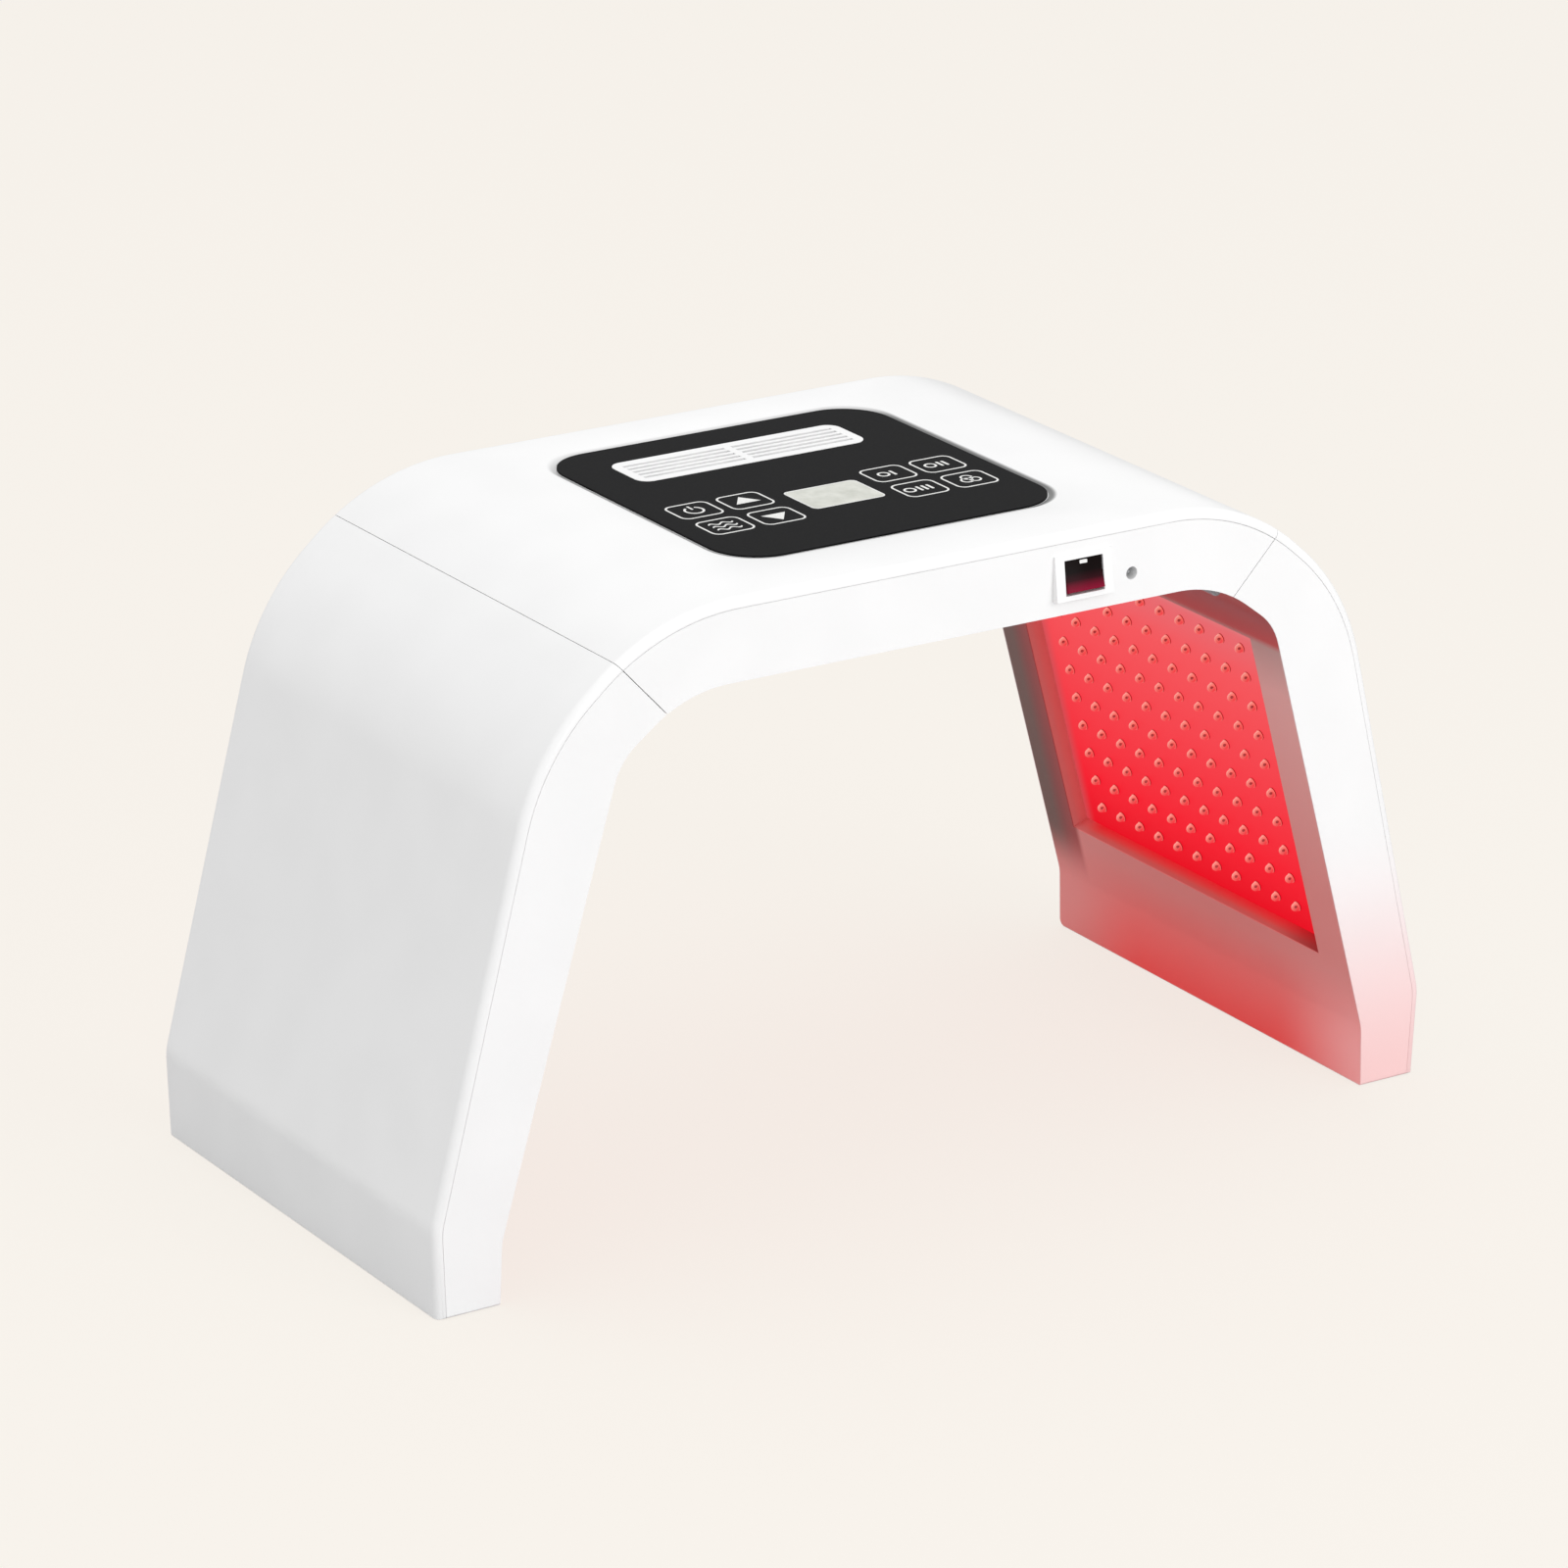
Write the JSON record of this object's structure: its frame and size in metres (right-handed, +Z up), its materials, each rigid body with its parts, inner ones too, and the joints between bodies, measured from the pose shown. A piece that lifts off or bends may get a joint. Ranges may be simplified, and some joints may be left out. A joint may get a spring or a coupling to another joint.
{
  "type": "led light therapy dome",
  "caption": "Free-standing folding arch with lamp panels on its inner faces, a membrane control panel with a display and a vent on top, and a rocker switch and power inlet in front.",
  "frame": {"origin": "centre of the footprint, on the surface that the foot pads stand on", "axes": "+Z up, +X from the left foot to the right foot as seen from the front, -Y is the front, with the switch and the power inlet"},
  "size_m": [0.5486, 0.2546, 0.31],
  "materials": {
    "white_shell": "gloss white moulding",
    "black_overlay": "satin black film",
    "display_window": "clear gloss window",
    "display_glass": "pale grey module",
    "white_grille": "white moulding",
    "green_board": "green solder mask",
    "black_plastic": "black moulding",
    "key_plastic": "pale moulding",
    "lamp_board": "white board seen in red lamp light",
    "lamp_lens": "clear lens, lit red",
    "screw_steel": "zinc plated",
    "hinge_steel": "brushed",
    "pin_steel": "ground",
    "brass_parts": "plain",
    "white_bezel": "gloss white moulding",
    "rocker_red": "gloss dark red moulding",
    "pad_rubber": "matt"
  },
  "bodies": {
    "center": {"top_cover": "white_shell", "lower_housing": "white_shell", "cover_screws": "screw_steel", "control_overlay": "black_overlay", "display_lens": "display_window", "display_module": "display_glass", "vent_grille": "white_grille", "keypad_board": "green_board", "key_switches": "black_plastic", "fan_frames": "black_plastic", "center_led_board": "lamp_board", "center_led_lamps": "lamp_lens", "center_board_screws": "screw_steel", "board_standoffs": "brass_parts", "driver_board": "green_board", "dc_jack": "black_plastic", "switch_housing": "white_bezel", "switch_terminals": "brass_parts", "center_hinge_leaves": "hinge_steel"},
    "right_wing": {"right_outer_cover": "white_shell", "right_inner_frame": "white_shell", "right_led_board": "lamp_board", "right_led_lamps": "lamp_lens", "right_board_screws": "screw_steel", "right_hinge_leaves": "hinge_steel", "right_hinge_pins": "pin_steel", "right_foot_screws": "screw_steel", "right_foot_pads": "pad_rubber"},
    "left_wing": {"left_outer_cover": "white_shell", "left_inner_frame": "white_shell", "left_led_board": "lamp_board", "left_led_lamps": "lamp_lens", "left_board_screws": "screw_steel", "left_hinge_leaves": "hinge_steel", "left_hinge_pins": "pin_steel", "left_foot_screws": "screw_steel", "left_foot_pads": "pad_rubber"},
    "rocker": {"switch_rocker": "rocker_red"},
    "fan_left": {"fan_rotor_left": "black_plastic"},
    "fan_right": {"fan_rotor_right": "black_plastic"},
    "power_key": {"key_power": "key_plastic"},
    "up_key": {"key_up": "key_plastic"},
    "infrared_key": {"key_infrared": "key_plastic"},
    "down_key": {"key_down": "key_plastic"},
    "red_key": {"key_red": "key_plastic"},
    "green_key": {"key_green": "key_plastic"},
    "blue_key": {"key_blue": "key_plastic"},
    "mix_key": {"key_mix": "key_plastic"}
  },
  "joints": [
    {"name": "right_wing_fold", "type": "hinge", "parent": "center", "child": "right_wing", "pos_m": [0.154, 0, 0.26293], "axis": [0, 1, 0], "range_deg": [0, 105]},
    {"name": "left_wing_fold", "type": "hinge", "parent": "center", "child": "left_wing", "pos_m": [-0.154, 0, 0.26293], "axis": [0, -1, 0], "range_deg": [0, 55]},
    {"name": "rocker_tilt", "type": "hinge", "parent": "center", "child": "rocker", "pos_m": [0.0674, -0.12543, 0.2893], "axis": [1, 0, 0], "range_deg": [0, 13]},
    {"name": "fan_left_spin", "type": "hinge", "parent": "center", "child": "fan_left", "pos_m": [-0.03, 0.054, 0.301], "axis": [0, 0, 1], "continuous": true},
    {"name": "fan_right_spin", "type": "hinge", "parent": "center", "child": "fan_right", "pos_m": [0.03, 0.054, 0.301], "axis": [0, 0, 1], "continuous": true},
    {"name": "power_key_press", "type": "slide", "parent": "center", "child": "power_key", "axis": [0, 0, -1], "range_m": [0, 0.00025], "stiffness_N_per_m": 400},
    {"name": "up_key_press", "type": "slide", "parent": "center", "child": "up_key", "axis": [0, 0, -1], "range_m": [0, 0.00025], "stiffness_N_per_m": 400},
    {"name": "infrared_key_press", "type": "slide", "parent": "center", "child": "infrared_key", "axis": [0, 0, -1], "range_m": [0, 0.00025], "stiffness_N_per_m": 400},
    {"name": "down_key_press", "type": "slide", "parent": "center", "child": "down_key", "axis": [0, 0, -1], "range_m": [0, 0.00025], "stiffness_N_per_m": 400},
    {"name": "red_key_press", "type": "slide", "parent": "center", "child": "red_key", "axis": [0, 0, -1], "range_m": [0, 0.00025], "stiffness_N_per_m": 400},
    {"name": "green_key_press", "type": "slide", "parent": "center", "child": "green_key", "axis": [0, 0, -1], "range_m": [0, 0.00025], "stiffness_N_per_m": 400},
    {"name": "blue_key_press", "type": "slide", "parent": "center", "child": "blue_key", "axis": [0, 0, -1], "range_m": [0, 0.00025], "stiffness_N_per_m": 400},
    {"name": "mix_key_press", "type": "slide", "parent": "center", "child": "mix_key", "axis": [0, 0, -1], "range_m": [0, 0.00025], "stiffness_N_per_m": 400}
  ]
}
